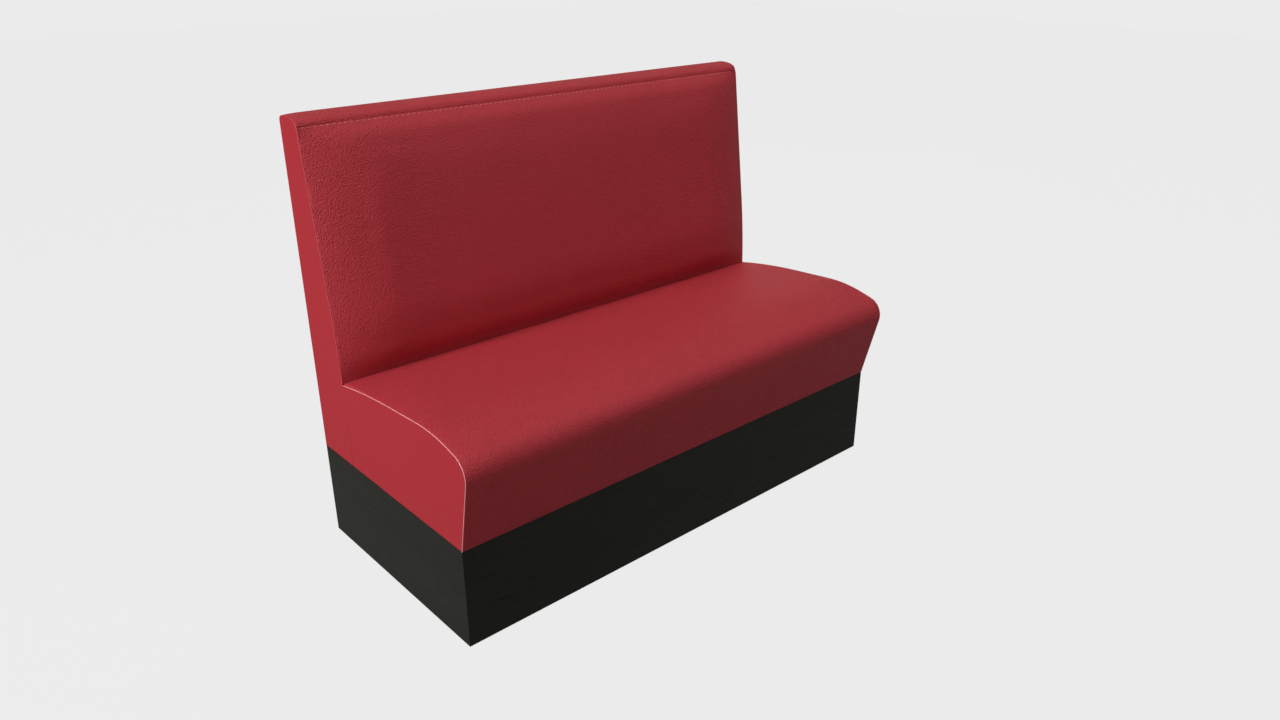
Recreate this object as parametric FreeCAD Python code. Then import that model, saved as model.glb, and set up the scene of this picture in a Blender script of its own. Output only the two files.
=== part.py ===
import FreeCAD, Part
import math
import os

from FreeCAD import Vector

# A single-sided upholstered booth bench: a dark wood plinth on four levelling feet, a
# webbed seat with a waterfall nose, and a raked, crowned back with a stitched top roll.
# While it is built, X runs along the bench from its middle, Y is the depth behind the
# plinth's front face, and Z is the height above the floor. All sizes are in millimetres.

# Overall sizes
bench_width = 1300.0
plinth_depth = 596.0
plinth_height = 234.0
ground_gap = 4.0

# Working gaps and cuts
soft_gap = 0.3
cut_overrun = 1.0

# Plinth boards
plinth_board = 18.0
rib_board = 18.0
rib_spacing = 310.0
plinth_rib_ground = 30.0

# Levelling feet and what they screw into
foot_inset = 50.0
block_width = 58.0
block_height = 80.0
block_recess = 23.0
insert_length = 25.0
insert_radius = 7.0
stem_radius = 4.9
thread_clearance = 0.1
stem_height = 70.0
stem_hole_spare = 8.0
stem_nut_width = 17.0
stem_nut_height = 6.0
pad_radius = 20.0
pad_neck_radius = 12.0
pad_height = 8.0
pad_rim = 3.0

# Covers, piping and the soft layers under them
cover_thickness = 1.5
side_cover_thickness = 4.0
piping_radius = 1.5
piping_proud = 0.5
piping_sides = 8

# Seat outline at its side seam. The back unit takes up the rear of the plinth, and the
# seat meets it there. Each corner of the outline is placed from the seat's rear edge or
# the plinth's front, and its rounding takes the blend length from both of its sides.
back_base_depth = 136.5
seat_rear_height = 205.0
seat_rise_inset = 119.5
seat_rise_step_height = 19.6
seat_rise_blend_length = 90.0
seat_crest_depth = 77.6
seat_crest_step_height = 34.7
seat_crest_blend_length = 60.0
nose_overhang_depth = 43.3
nose_step_height = 3.2
nose_blend_length = 44.0
seat_swell_height = 7.0
seat_roll_width = 8.0
seat_fade_width = 70.0

# Seat frame, webbing and foam
carcase_board = 18.0
webbing_drop_height = 63.0
rail_height = 50.0
front_rail_depth = 38.0
rear_rail_thickness = 25.0
front_board_thickness = 12.0
front_foam_thickness = 12.0
long_strap_width = 60.0
long_strap_count = 12
long_strap_margin = 34.0
cross_strap_width = 50.0
cross_strap_count = 4
cross_strap_margin = 50.0
strap_thickness = 2.0
strap_end_margin = 3.0

# Back outline at its side seam: its top front corner, and the others placed from it, from
# the rear face or from the seat's rear edge
back_height = 773.3
back_top_depth = 77.7
lumbar_step_depth = 3.0
lumbar_step_height = 102.0
lumbar_blend_length = 95.0
top_front_blend_length = 19.0
top_crest_inset = 28.0
top_crest_step_height = 9.2
top_crest_blend_length = 14.0
top_rear_step_height = 3.2
top_rear_blend_length = 9.0
top_swell_height = 2.5

# Top roll, from its lap on the rear face to the stitched seam that joins it to the
# back's front, both placed from the back's top corners
roll_front_step_depth = 6.4
roll_front_step_height = 1.1
roll_front_blend_length = 9.8
roll_lap_length = 34.5
seam_step_depth = 1.0
seam_drop_height = 8.3
seam_groove_height = 0.8

# Back pad: how far below the back's top or above the seat's rear edge its front turns,
# and how far it stands out in the middle
shoulder_drop_height = 38.3
upper_belly_drop_height = 113.3
lower_belly_step_height = 135.0
low_turn_step_height = 57.0
tuck_step_height = 14.0
pad_lap_height = 15.0
back_swell_depth = 21.0
back_roll_width = 9.0
back_fade_width = 200.0
shoulder_blend_length = 14.0
upper_belly_blend_length = 36.0
lower_belly_blend_length = 38.0
low_turn_blend_length = 20.0
tuck_blend_length = 12.0

# Back frame
back_foam_thickness = 45.0
support_board = 9.0
outside_back_board = 4.0
frame_top_drop_height = 11.3
top_rail_height = 62.0
bottom_rail_height = 60.0
bottom_rail_thickness = 25.0

# Bolts that clamp the back unit to the seat unit, and plates that hold the seat unit to
# the plinth
bolt_radius = 4.0
bolt_hole_clearance = 0.5
bolt_head_width = 13.0
bolt_head_height = 5.3
bolt_tail_length = 4.0
bolt_nut_height = 6.5
bolt_inner_spacing = 155.0
bolt_outer_spacing = 480.0
plate_width = 40.0
plate_height = 120.0
plate_thickness = 3.0
plate_front_depth = 110.0
plate_rear_inset = 69.5

# How the pads swell from their end seams: shares of the roll's width with shares of the
# swell, then shares of the fade's width with shares of the swell
seat_roll_shares = ((0.0, 0.0), (0.12, 0.42), (0.45, 0.72), (1.0, 0.86))
seat_fade_shares = ((0.5, 0.96), (1.0, 1.0))
top_roll_shares = ((0.0, 0.0), (0.3, 0.6), (1.0, 1.0))
back_roll_shares = ((0.0, 0.0), (0.15, 0.16), (0.5, 0.27), (1.0, 0.34))
back_fade_shares = ((0.22, 0.58), (0.45, 0.81), (0.7, 0.94), (1.0, 1.0))
# How much of the seat's swell reaches the nose corner, forwards and upwards
nose_forward_share = 0.9
nose_up_share = 0.6
# How much of the back's swell each turn of its front takes
shoulder_swell_share = 0.6
low_turn_swell_share = 0.72
# A corner that rises less than this share of its blend counts as straight
straight_share = 0.0001

# Worked out from the sizes above
half_width = bench_width / 2
deck = ground_gap + plinth_height
side_inner = half_width - side_cover_thickness
side_outer_seam = half_width + piping_proud - 2 * piping_radius - soft_gap
seam_inset = piping_radius + (piping_radius - piping_proud) + soft_gap
foam_inset = cover_thickness + soft_gap
frame_half_width = side_inner - carcase_board
frame_rear = plinth_depth - cover_thickness - outside_back_board
unit_joint_depth = plinth_depth - back_base_depth
seat_rise_depth = unit_joint_depth - seat_rise_inset
seat_rise_height = seat_rear_height + seat_rise_step_height
seat_crest_height = seat_rear_height + seat_crest_step_height
nose_height = seat_rear_height + nose_step_height
webbing_height = seat_rear_height - webbing_drop_height
foam_bottom_height = webbing_height + 2 * strap_thickness + 2 * soft_gap
bolt_height = webbing_height - rail_height / 2
lumbar_depth = unit_joint_depth + lumbar_step_depth
lumbar_height = seat_rear_height + lumbar_step_height
top_front_depth = plinth_depth - back_top_depth
top_crest_depth = plinth_depth - top_crest_inset
top_crest_height = back_height + top_crest_step_height
top_rear_height = back_height + top_rear_step_height
seam_depth = top_front_depth + seam_step_depth
seam_height = back_height - seam_drop_height
frame_top_height = back_height - frame_top_drop_height
pad_bottom_height = seat_rear_height - pad_lap_height
rib_places = (("left", -rib_spacing), ("centre", 0.0), ("right", rib_spacing))
side_places = (("left", -1), ("right", 1))

parts = {}


# General shapes


def block(x_low, x_high, y_low, y_high, z_low, z_high):
    """A plain board or rail between two corners."""
    size = Vector(x_high - x_low, y_high - y_low, z_high - z_low)
    return Part.makeBox(size.x, size.y, size.z, Vector(x_low, y_low, z_low))


def rod(radius, start, end):
    """A round bar from one point to another."""
    run = end - start
    return Part.makeCylinder(radius, run.Length, start, run)


def hexagon_bar(across_flats, start, end):
    """A hexagonal bar, as in a nut or a bolt head, from one point to another."""
    run = end - start
    corner_radius = across_flats / 2 / math.cos(math.radians(30))
    side = Vector(1, 0, 0)
    across = run.cross(side).normalize()
    corners = []
    for turn in range(7):
        angle = math.radians(60 * turn)
        corners.append(start + (side * math.cos(angle) + across * math.sin(angle)) * corner_radius)
    return Part.Face(Part.makePolygon(corners)).extrude(run)


def side_board(outline, x_low, x_high):
    """A board cut to an outline of (depth, height) points, between two places along X."""
    corners = [Vector(x_low, depth, deck + height) for depth, height in outline]
    face = Part.Face(Part.makePolygon(corners + corners[:1]))
    return face.extrude(Vector(x_high - x_low, 0, 0))


# Outlines: open paths of straight runs joined by arcs that are tangent to both


def direction(start, end):
    """The unit step in (depth, height) from one point to another."""
    run = math.dist(start, end)
    return (end[0] - start[0]) / run, (end[1] - start[1]) / run


def inset_path(corners, blends, distance):
    """The same path moved to its left by a distance, with its arcs kept concentric."""
    steps = [direction(a, b) for a, b in zip(corners, corners[1:])]
    first, last = steps[0], steps[-1]
    moved = [(corners[0][0] - first[1] * distance, corners[0][1] + first[0] * distance)]
    shorter = []
    for corner, before, after, blend in zip(corners[1:], steps, steps[1:], blends):
        turn = math.atan2(
            before[0] * after[1] - before[1] * after[0],
            before[0] * after[0] + before[1] * after[1],
        )
        slope = math.tan(turn / 2)
        along = distance * slope
        depth = corner[0] - before[1] * distance - before[0] * along
        height = corner[1] + before[0] * distance - before[1] * along
        moved.append((depth, height))
        shorter.append(blend - distance * slope)
    end = corners[-1]
    moved.append((end[0] - last[1] * distance, end[1] + last[0] * distance))
    return moved, shorter


def corner_edge(corner, before, after, blend):
    """The arc that rounds a corner, or a straight edge where the path goes straight on."""
    arc_start = corner + (before - corner).normalize() * blend
    arc_end = corner + (after - corner).normalize() * blend
    chord_middle = (arc_start + arc_end) / 2
    rise = (chord_middle - corner).Length
    if rise < straight_share * blend:
        return Part.LineSegment(arc_start, arc_end).toShape()
    radius = (arc_start - chord_middle).Length * blend / rise
    crown = blend**2 / (math.hypot(radius, blend) + radius)
    arc_middle = corner + (chord_middle - corner).normalize() * crown
    return Part.Arc(arc_start, arc_middle, arc_end).toShape()


def path_edges(corners, blends, x):
    """Edges of a path in the plane at x, with an arc of the given blend at each inner corner."""
    points = [Vector(x, depth, deck + height) for depth, height in corners]
    edges = []
    start = points[0]
    for corner, before, after, blend in zip(points[1:], points, points[2:], blends):
        rounding = corner_edge(corner, before, after, blend)
        edges.append(Part.LineSegment(start, rounding.Vertexes[0].Point).toShape())
        edges.append(rounding)
        start = rounding.Vertexes[-1].Point
    edges.append(Part.LineSegment(start, points[-1]).toShape())
    return edges


def closed_wire(edges, *more_points):
    """A wire of the edges, closed through any further points by straight lines."""
    first = edges[0].Vertexes[0].Point
    last = edges[-1].Vertexes[-1].Point
    stops = [last, *more_points, first]
    closing = [Part.LineSegment(a, b).toShape() for a, b in zip(stops, stops[1:])]
    return Part.Wire(edges + closing)


def filled_section(path, x, *corners):
    """A closed section in the plane at x: a path, then straight lines through the corners."""
    return closed_wire(path_edges(*path, x), *[Vector(x, d, deck + h) for d, h in corners])


def skin_section(path, thickness, x):
    """A closed section in the plane at x of a cover that lies inside a path."""
    outer = path_edges(*path, x)
    inner = path_edges(*inset_path(*path, thickness), x)
    inner_end = inner[-1].Vertexes[-1].Point
    inner_start = inner[0].Vertexes[0].Point
    outer_start = outer[0].Vertexes[0].Point
    outer_end = outer[-1].Vertexes[-1].Point
    foot = Part.LineSegment(outer_end, inner_end).toShape()
    head = Part.LineSegment(inner_start, outer_start).toShape()
    return Part.Wire(outer + [foot] + inner[::-1] + [head])


def swell_stations(end, roll, roll_shares, fade=0.0, fade_shares=()):
    """Places along X from the left end to the right, each with its share of the swell."""
    left = [(-end + roll * along, swell) for along, swell in roll_shares]
    left += [(-end + roll + (fade - roll) * along, swell) for along, swell in fade_shares]
    right = [(-x, swell) for x, swell in reversed(left)]
    return left + right


def swollen(stations, section):
    """A solid through the sections at all the stations."""
    wires = [section(x, swell) for x, swell in stations]
    return Part.makeLoft(wires, True, True)


def piping(path, x):
    """A cord laid along a path in the plane at x, with enough flats to look round."""
    edges = path_edges(*path, x)
    start, after = edges[0].Vertexes[0].Point, edges[0].Vertexes[-1].Point
    side = Vector(1, 0, 0)
    across = (after - start).cross(side).normalize()
    corners = []
    for number in range(piping_sides + 1):
        angle = 2 * math.pi * (number + 0.5) / piping_sides
        corners.append(start + (side * math.cos(angle) + across * math.sin(angle)) * piping_radius)
    return Part.Wire(edges).makePipeShell([Part.makePolygon(corners)], True, False)


# Outlines of the seat and the back


def seat_path(swell):
    """The seat from its rear over the crest and the nose down to the plinth."""
    corners = [
        (unit_joint_depth - soft_gap, seat_rear_height + swell),
        (seat_rise_depth, seat_rise_height + swell),
        (seat_crest_depth, seat_crest_height + swell),
        (-nose_overhang_depth - nose_forward_share * swell, nose_height + nose_up_share * swell),
        (0.0, 0.0),
    ]
    return corners, [seat_rise_blend_length, seat_crest_blend_length, nose_blend_length]


def raked_depth(height):
    """How far back the back's side seam lies at a height."""
    if height < lumbar_height:
        low = (unit_joint_depth + soft_gap, pad_bottom_height)
        high = (lumbar_depth, lumbar_height)
    else:
        low = (lumbar_depth, lumbar_height)
        high = (top_front_depth, back_height)
    share = (height - low[1]) / (high[1] - low[1])
    return low[0] + share * (high[0] - low[0])


def front_pad_path(swell):
    """The front of the back pad, from its stitched top seam down behind the seat."""
    turns = (
        (back_height - shoulder_drop_height, shoulder_swell_share),
        (back_height - upper_belly_drop_height, 1.0),
        (seat_rear_height + lower_belly_step_height, 1.0),
        (seat_rear_height + low_turn_step_height, low_turn_swell_share),
        (seat_rear_height + tuck_step_height, 0.0),
        (pad_bottom_height, 0.0),
    )
    corners = [(seam_depth, seam_height - seam_groove_height)]
    corners += [(raked_depth(height) - share * swell, height) for height, share in turns]
    blends = [
        shoulder_blend_length,
        upper_belly_blend_length,
        lower_belly_blend_length,
        low_turn_blend_length,
        tuck_blend_length,
    ]
    return corners, blends


def top_roll_path(swell):
    """The top roll from the back's rear face over the top to the stitched seam."""
    roll_front_depth = top_front_depth + roll_front_step_depth
    roll_front_height = back_height + roll_front_step_height
    corners = [
        (plinth_depth, top_rear_height - roll_lap_length),
        (plinth_depth, top_rear_height + swell),
        (top_crest_depth, top_crest_height + swell),
        (roll_front_depth, roll_front_height + swell),
        (seam_depth, seam_height),
    ]
    return corners, [top_rear_blend_length, top_crest_blend_length, roll_front_blend_length]


def back_side_path():
    """The back's side seam, from the plinth up the rear, over the top and down past the seat."""
    corners = [
        (plinth_depth, 0.0),
        (plinth_depth, top_rear_height),
        (top_crest_depth, top_crest_height),
        (top_front_depth, back_height),
        (lumbar_depth, lumbar_height),
        (unit_joint_depth + soft_gap, pad_bottom_height),
    ]
    blends = [
        top_rear_blend_length,
        top_crest_blend_length,
        top_front_blend_length,
        lumbar_blend_length,
    ]
    return corners, blends


def support_depth(height):
    """How far back the board behind the back's foam starts at a height."""
    low = (raked_depth(pad_bottom_height), pad_bottom_height)
    high = (raked_depth(seam_height), seam_height)
    lean = (high[0] - low[0]) / (high[1] - low[1])
    return low[0] + lean * (height - low[1]) + back_foam_thickness


def front_face_depth(height, distance):
    """How far back a plane lies that is parallel to the seat's front, a distance inside it."""
    lean = nose_overhang_depth / nose_height
    return distance * math.hypot(1.0, lean) - lean * height


# Plinth


def make_plinth():
    low, high = ground_gap, deck
    inner_half = half_width - plinth_board
    front = Part.makePolygon(
        [
            Vector(-half_width, 0, low),
            Vector(half_width, 0, low),
            Vector(inner_half, plinth_board, low),
            Vector(-inner_half, plinth_board, low),
            Vector(-half_width, 0, low),
        ]
    )
    parts["plinth_front_panel"] = Part.Face(front).extrude(Vector(0, 0, high - low))
    for name, side in side_places:
        outline = Part.makePolygon(
            [
                Vector(side * half_width, 0, low),
                Vector(side * half_width, plinth_depth, low),
                Vector(side * inner_half, plinth_depth, low),
                Vector(side * inner_half, plinth_board, low),
                Vector(side * half_width, 0, low),
            ]
        )
        parts[f"plinth_{name}_panel"] = Part.Face(outline).extrude(Vector(0, 0, high - low))
    rear = plinth_depth - plinth_board
    parts["plinth_rear_panel"] = block(-inner_half, inner_half, rear, plinth_depth, low, high)
    for name, x in rib_places:
        parts[f"plinth_rib_{name}"] = block(
            x - rib_board / 2, x + rib_board / 2, plinth_board, rear, plinth_rib_ground, high
        )


# Levelling feet


def foot_places():
    """The name, X and Y of each foot."""
    x = half_width - foot_inset
    rows = (("front", foot_inset), ("rear", plinth_depth - foot_inset))
    return [(f"{row}_{name}", side * x, y) for row, y in rows for name, side in side_places]


def make_foot(name, x, y):
    """One foot with its block: a moulded pad, a steel stem with a hexagon, and the block."""
    block_low = ground_gap + block_recess
    x_edge = math.copysign(half_width - plinth_board, x)
    x_other = x_edge - math.copysign(block_width, x)
    y_edge = plinth_board if y < plinth_depth / 2 else plinth_depth - plinth_board
    y_other = y_edge + math.copysign(block_width, plinth_depth / 2 - y)
    corner_block = block(
        min(x_edge, x_other),
        max(x_edge, x_other),
        min(y_edge, y_other),
        max(y_edge, y_other),
        block_low,
        block_low + block_height,
    )
    floor_point = Vector(x, y, 0)
    up = Vector(0, 0, 1)
    hole_top = floor_point + up * (block_low + stem_height + stem_hole_spare)
    parts[f"corner_block_{name}"] = corner_block.cut(rod(insert_radius, floor_point, hole_top))

    insert_low = floor_point + up * block_low
    insert_high = insert_low + up * insert_length
    bore = rod(stem_radius + thread_clearance, floor_point, insert_high + up * cut_overrun)

    pad_top = floor_point + up * pad_height
    shaft = rod(stem_radius, pad_top, floor_point + up * stem_height)
    hexagon = hexagon_bar(stem_nut_width, pad_top, pad_top + up * stem_nut_height)
    parts[f"foot_stem_{name}"] = shaft.fuse(hexagon).removeSplitter()

    rim = rod(pad_radius, floor_point, floor_point + up * pad_rim)
    neck = rod(pad_neck_radius, floor_point, pad_top)
    parts[f"foot_pad_{name}"] = rim.fuse(neck).removeSplitter()
    return rod(insert_radius, insert_low, insert_high).cut(bore)


def make_feet():
    inserts = [make_foot(name, x, y) for name, x, y in foot_places()]
    parts["foot_inserts"] = Part.Compound(inserts)


# Seat unit


def make_seat_frame():
    board_face = foam_inset + front_foam_thickness
    board_back = board_face + front_board_thickness

    def board_edge(height):
        return front_face_depth(height, board_back)

    outline = [
        (board_edge(0.0), 0.0),
        (unit_joint_depth, 0.0),
        (unit_joint_depth, webbing_height),
        (board_edge(webbing_height), webbing_height),
    ]
    for name, side in side_places:
        inner, outer = side * frame_half_width, side * side_inner
        parts[f"seat_end_{name}"] = side_board(outline, min(inner, outer), max(inner, outer))

    rail_low = webbing_height - rail_height
    rib_outline = [
        (board_edge(0.0), 0.0),
        (unit_joint_depth, 0.0),
        (unit_joint_depth, rail_low),
        (board_edge(rail_low), rail_low),
    ]
    for name, x in rib_places:
        parts[f"seat_rib_{name}"] = side_board(rib_outline, x - rib_board / 2, x + rib_board / 2)

    front_board = [
        (front_face_depth(0.0, board_face), 0.0),
        (board_edge(0.0), 0.0),
        (board_edge(webbing_height), webbing_height),
        (front_face_depth(webbing_height, board_face), webbing_height),
    ]
    parts["seat_front_board"] = side_board(front_board, -side_inner, side_inner)

    front_rail = [
        (board_edge(rail_low), rail_low),
        (front_rail_depth, rail_low),
        (front_rail_depth, webbing_height),
        (board_edge(webbing_height), webbing_height),
    ]
    parts["seat_front_rail"] = side_board(front_rail, -frame_half_width, frame_half_width)
    rear_rail = block(
        -frame_half_width,
        frame_half_width,
        unit_joint_depth - rear_rail_thickness,
        unit_joint_depth,
        deck + rail_low,
        deck + webbing_height,
    )
    parts["seat_rear_rail"] = rear_rail.cut(bolt_holes())


def strap_centres():
    """The middle of each front-to-back strap along X."""
    reach = frame_half_width - long_strap_margin - long_strap_width / 2
    pitch = 2 * reach / (long_strap_count - 1)
    return [-reach + pitch * number for number in range(long_strap_count)]


def make_webbing():
    """Front-to-back straps on the rails, and cross straps woven over and under them."""
    strap_low = deck + webbing_height
    front = front_face_depth(webbing_height, foam_inset + front_foam_thickness) + strap_end_margin
    rear = unit_joint_depth - strap_end_margin
    long_straps = [
        block(
            centre - long_strap_width / 2,
            centre + long_strap_width / 2,
            front,
            rear,
            strap_low,
            strap_low + strap_thickness,
        )
        for centre in strap_centres()
    ]
    parts["webbing_long_straps"] = Part.Compound(long_straps)

    over = strap_thickness + soft_gap
    first = front_rail_depth + cross_strap_margin
    last = unit_joint_depth - rear_rail_thickness - cross_strap_margin - cross_strap_width
    cross_straps = []
    for number in range(cross_strap_count):
        levels = [(-side_inner + strap_end_margin, 0.0), (-frame_half_width, 0.0)]
        for count, centre in enumerate(strap_centres()):
            level = over if (count + number) % 2 == 0 else -over
            levels.append((centre - long_strap_width / 2, level))
            levels.append((centre + long_strap_width / 2, level))
        levels.append((frame_half_width, 0.0))
        levels.append((side_inner - strap_end_margin, 0.0))
        y = first + (last - first) * number / (cross_strap_count - 1)
        under_side = [Vector(x, y, strap_low + level) for x, level in levels]
        upper_side = [point + Vector(0, 0, strap_thickness) for point in reversed(under_side)]
        loop = under_side + upper_side + under_side[:1]
        strap = Part.Face(Part.makePolygon(loop)).extrude(Vector(0, cross_strap_width, 0))
        cross_straps.append(strap)
    parts["webbing_cross_straps"] = Part.Compound(cross_straps)


def make_seat_padding():
    stations = swell_stations(
        side_outer_seam, seat_roll_width, seat_roll_shares, seat_fade_width, seat_fade_shares
    )
    parts["seat_cover"] = swollen(
        stations,
        lambda x, swell: skin_section(seat_path(seat_swell_height * swell), cover_thickness, x),
    )

    foam_end = side_inner - soft_gap
    foam_stations = swell_stations(
        foam_end, seat_roll_width, seat_roll_shares, seat_fade_width, seat_fade_shares
    )

    def foam_section(x, swell):
        corners, blends = inset_path(*seat_path(seat_swell_height * swell), foam_inset)
        nose, base = corners[-2], corners[-1]
        share = (foam_bottom_height - base[1]) / (nose[1] - base[1])
        corners[-1] = (base[0] + share * (nose[0] - base[0]), foam_bottom_height)
        return filled_section((corners, blends), x, (corners[0][0], foam_bottom_height))

    parts["seat_foam"] = swollen(foam_stations, foam_section)

    strip_top = foam_bottom_height - soft_gap
    front_strip = [
        (front_face_depth(0.0, foam_inset), 0.0),
        (front_face_depth(0.0, foam_inset + front_foam_thickness), 0.0),
        (front_face_depth(strip_top, foam_inset + front_foam_thickness), strip_top),
        (front_face_depth(strip_top, foam_inset), strip_top),
    ]
    parts["seat_front_foam"] = side_board(front_strip, -foam_end, foam_end)


def make_seat_sides():
    corners, blends = inset_path(*seat_path(0.0), seam_inset)
    foot = (corners[-1][0], 0.0)
    rear_foot = (unit_joint_depth - soft_gap, 0.0)
    corners[0] = (rear_foot[0], corners[0][1])
    for name, side in side_places:
        inner, outer = side * side_inner, side * half_width
        section = filled_section((corners[:-1] + [foot], blends), inner, rear_foot)
        cover = Part.Face(section).extrude(Vector(outer - inner, 0, 0))
        parts[f"seat_side_cover_{name}"] = cover
        cord_path = inset_path(*seat_path(0.0), piping_radius - piping_proud)
        cord_x = side * (half_width + piping_proud - piping_radius)
        parts[f"seat_piping_{name}"] = piping(cord_path, cord_x)


# Back unit


def make_back_frame():
    step = pad_bottom_height - soft_gap

    def support_back(height):
        return support_depth(height) + support_board

    def upright(front, top):
        return [
            (front, 0.0),
            (frame_rear, 0.0),
            (frame_rear, top),
            (support_back(top), top),
            (support_back(step), step),
            (front, step),
        ]

    for name, side in side_places:
        inner, outer = side * frame_half_width, side * side_inner
        outline = upright(unit_joint_depth, frame_top_height)
        parts[f"back_end_{name}"] = side_board(outline, min(inner, outer), max(inner, outer))
    rail_front = unit_joint_depth + bottom_rail_thickness
    rail_low = frame_top_height - top_rail_height
    for name, x in rib_places:
        outline = upright(rail_front, rail_low)
        parts[f"back_rib_{name}"] = side_board(outline, x - rib_board / 2, x + rib_board / 2)

    top_rail = [
        (support_back(rail_low), rail_low),
        (frame_rear, rail_low),
        (frame_rear, frame_top_height),
        (support_back(frame_top_height), frame_top_height),
    ]
    parts["back_top_rail"] = side_board(top_rail, -frame_half_width, frame_half_width)
    bottom_rail = block(
        -frame_half_width,
        frame_half_width,
        unit_joint_depth,
        rail_front,
        deck + bolt_height - bottom_rail_height / 2,
        deck + bolt_height + bottom_rail_height / 2,
    )
    parts["back_bottom_rail"] = bottom_rail.cut(bolt_holes())

    support = [
        (support_depth(pad_bottom_height), pad_bottom_height),
        (support_back(pad_bottom_height), pad_bottom_height),
        (support_back(frame_top_height), frame_top_height),
        (support_depth(frame_top_height), frame_top_height),
    ]
    parts["back_support_panel"] = side_board(support, -side_inner, side_inner)
    parts["outside_back_panel"] = block(
        -side_inner,
        side_inner,
        frame_rear,
        frame_rear + outside_back_board,
        deck,
        deck + frame_top_height,
    )


def make_back_padding():
    front_stations = swell_stations(
        side_outer_seam, back_roll_width, back_roll_shares, back_fade_width, back_fade_shares
    )
    parts["back_front_cover"] = swollen(
        front_stations,
        lambda x, swell: skin_section(front_pad_path(back_swell_depth * swell), cover_thickness, x),
    )
    foam_end = side_inner - soft_gap
    foam_stations = swell_stations(
        foam_end, back_roll_width, back_roll_shares, back_fade_width, back_fade_shares
    )

    def foam_section(x, swell):
        corners, blends = inset_path(*front_pad_path(back_swell_depth * swell), foam_inset)
        top = (corners[0][0], frame_top_height)
        bottom = (corners[-1][0], pad_bottom_height)
        corners = [top, *corners[1:-1], bottom]
        rear_low = (support_depth(pad_bottom_height) - soft_gap, pad_bottom_height)
        rear_high = (support_depth(frame_top_height) - soft_gap, frame_top_height)
        return filled_section((corners, blends), x, rear_low, rear_high)

    parts["back_foam"] = swollen(foam_stations, foam_section)


def make_top_roll():
    stations = swell_stations(side_outer_seam, seat_roll_width, top_roll_shares)
    parts["top_roll_cover"] = swollen(
        stations,
        lambda x, swell: skin_section(top_roll_path(top_swell_height * swell), cover_thickness, x),
    )
    foam_low = frame_top_height + soft_gap

    def foam_section(x, swell):
        corners, blends = inset_path(*top_roll_path(top_swell_height * swell), foam_inset)
        front_low = (corners[-1][0], foam_low)
        rear_low = (corners[0][0], foam_low)
        return filled_section(([rear_low, *corners[1:-1], front_low], blends), x)

    foam_stations = swell_stations(side_inner - soft_gap, seat_roll_width, top_roll_shares)
    parts["top_roll_foam"] = swollen(foam_stations, foam_section)


def make_back_sides():
    corners, blends = inset_path(*back_side_path(), seam_inset)
    front = unit_joint_depth + soft_gap
    step = (front, corners[-1][1])
    for name, side in side_places:
        inner, outer = side * side_inner, side * half_width
        section = filled_section((corners, blends), inner, step, (front, 0.0))
        cover = Part.Face(section).extrude(Vector(outer - inner, 0, 0))
        parts[f"back_side_cover_{name}"] = cover
        cord_path = inset_path(*back_side_path(), piping_radius - piping_proud)
        cord_x = side * (half_width + piping_proud - piping_radius)
        parts[f"back_piping_{name}"] = piping(cord_path, cord_x)
    rear_low = plinth_depth - cover_thickness
    parts["outside_back_cover"] = block(
        -side_outer_seam,
        side_outer_seam,
        rear_low,
        plinth_depth,
        deck,
        deck + top_rear_height - roll_lap_length - soft_gap,
    )


# Fixings


def bolt_places():
    """X of each bolt through the two rails that meet between the units."""
    inner, outer = bolt_inner_spacing, bolt_outer_spacing
    return (-outer, -inner, inner, outer)


def bolt_holes():
    radius = bolt_radius + bolt_hole_clearance
    front = unit_joint_depth - rear_rail_thickness - cut_overrun
    rear = unit_joint_depth + bottom_rail_thickness + cut_overrun
    z = deck + bolt_height
    holes = [rod(radius, Vector(x, front, z), Vector(x, rear, z)) for x in bolt_places()]
    return Part.Compound(holes)


def make_bolts():
    front = unit_joint_depth - rear_rail_thickness
    rear = unit_joint_depth + bottom_rail_thickness
    z = deck + bolt_height
    bolts, nuts = [], []
    for x in bolt_places():
        face, tail = Vector(x, front, z), Vector(x, rear + bolt_nut_height + bolt_tail_length, z)
        head = hexagon_bar(bolt_head_width, face - Vector(0, bolt_head_height, 0), face)
        bolts.append(head.fuse(rod(bolt_radius, face, tail)).removeSplitter())
        nut_face = Vector(x, rear, z)
        nut_end = nut_face + Vector(0, bolt_nut_height, 0)
        nut = hexagon_bar(bolt_head_width, nut_face, nut_end)
        nuts.append(nut.cut(rod(bolt_radius + thread_clearance, nut_face, nut_end)))
    parts["joining_bolts"] = Part.Compound(bolts)
    parts["joining_nuts"] = Part.Compound(nuts)


def make_joining_plates():
    """Flat steel plates that hold each seat rib to the plinth rib under it."""
    plates = []
    for _, x in rib_places:
        face = x + rib_board / 2
        for y in (plate_front_depth, unit_joint_depth - plate_rear_inset):
            plates.append(
                block(
                    face,
                    face + plate_thickness,
                    y - plate_width / 2,
                    y + plate_width / 2,
                    deck - plate_height / 2,
                    deck + plate_height / 2,
                )
            )
    parts["joining_plates"] = Part.Compound(plates)


make_plinth()
make_feet()
make_seat_frame()
make_webbing()
make_seat_padding()
make_seat_sides()
make_back_frame()
make_back_padding()
make_top_roll()
make_back_sides()
make_bolts()
make_joining_plates()

# The part's origin is on the floor, under the middle of its width and depth
nose_front = parts["seat_cover"].optimalBoundingBox().YMin
centre = Vector(0, -(nose_front + plinth_depth) / 2, 0)
os.makedirs("parts", exist_ok=True)
for name, shape in parts.items():
    shape.translate(centre)
    shape.exportStep(f"parts/{name}.step")
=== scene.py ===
import math

import bmesh
import bpy
import numpy as np
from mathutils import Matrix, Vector
from mathutils.bvhtree import BVHTree


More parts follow.
